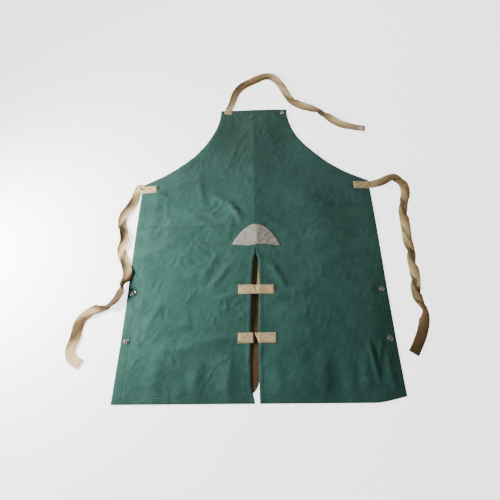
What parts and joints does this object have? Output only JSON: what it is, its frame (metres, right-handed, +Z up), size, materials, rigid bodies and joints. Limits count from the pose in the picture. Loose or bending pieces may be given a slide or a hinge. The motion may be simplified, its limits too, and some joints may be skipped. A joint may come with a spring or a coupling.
{
  "type": "split-leg work apron",
  "caption": "Green canvas work apron with a split skirt, lying flat: suede patch over the split, cotton tape neck strap, waist ties and leg straps, and nickel press studs.",
  "frame": {"origin": "under the middle of the panel, on the surface that the apron lies on", "axes": "+Y towards the bib along the apron's length, +X to the right seen from the front, +Z up out of the front face"},
  "size_m": [0.9377, 1.0969, 0.0147],
  "materials": {
    "green_canvas": "matte, plain weave",
    "cotton_tape": "matte, twill tape",
    "suede": "matte, brushed",
    "nickel": "polished",
    "canvas_thread": "matte",
    "tape_thread": "matte"
  },
  "bodies": {
    "bib": {"bib_hem_stitching": "canvas_thread", "bib_panel": "green_canvas", "left_waist_tie": "cotton_tape", "left_waist_tie_end": "cotton_tape", "left_waist_tie_stitching": "tape_thread", "neck_strap": "cotton_tape", "neck_strap_cap": "nickel", "neck_strap_end": "cotton_tape", "neck_strap_socket": "nickel", "neck_strap_stitching": "tape_thread", "neck_strap_tip": "cotton_tape", "neck_stud": "nickel", "neck_stud_post": "nickel", "right_waist_tie": "cotton_tape", "right_waist_tie_end": "cotton_tape", "right_waist_tie_stitching": "tape_thread", "split_patch": "suede", "split_patch_stitching": "tape_thread"},
    "left_leg": {"left_leg_hem_stitching": "canvas_thread", "left_leg_panel": "green_canvas", "left_leg_stud_posts": "nickel", "left_leg_studs": "nickel", "left_lower_strap": "cotton_tape", "left_lower_strap_cap": "nickel", "left_lower_strap_end": "cotton_tape", "left_lower_strap_socket": "nickel", "left_lower_strap_stitching": "tape_thread", "left_upper_strap": "cotton_tape", "left_upper_strap_cap": "nickel", "left_upper_strap_end": "cotton_tape", "left_upper_strap_socket": "nickel", "left_upper_strap_stitching": "tape_thread"},
    "right_leg": {"right_leg_hem_stitching": "canvas_thread", "right_leg_panel": "green_canvas", "right_leg_stud_posts": "nickel", "right_leg_studs": "nickel", "right_lower_strap": "cotton_tape", "right_lower_strap_cap": "nickel", "right_lower_strap_end": "cotton_tape", "right_lower_strap_socket": "nickel", "right_lower_strap_stitching": "tape_thread", "right_upper_strap": "cotton_tape", "right_upper_strap_cap": "nickel", "right_upper_strap_end": "cotton_tape", "right_upper_strap_socket": "nickel", "right_upper_strap_stitching": "tape_thread"}
  },
  "joints": [
    {"name": "left_leg_lift", "type": "hinge", "parent": "bib", "child": "left_leg", "pos_m": [-0.18, -0.064, 0.0024], "axis": [-1, 0, 0], "range_deg": [0, 150]},
    {"name": "right_leg_lift", "type": "hinge", "parent": "bib", "child": "right_leg", "pos_m": [0.18, -0.064, 0.0024], "axis": [-1, 0, 0], "range_deg": [0, 150]}
  ]
}
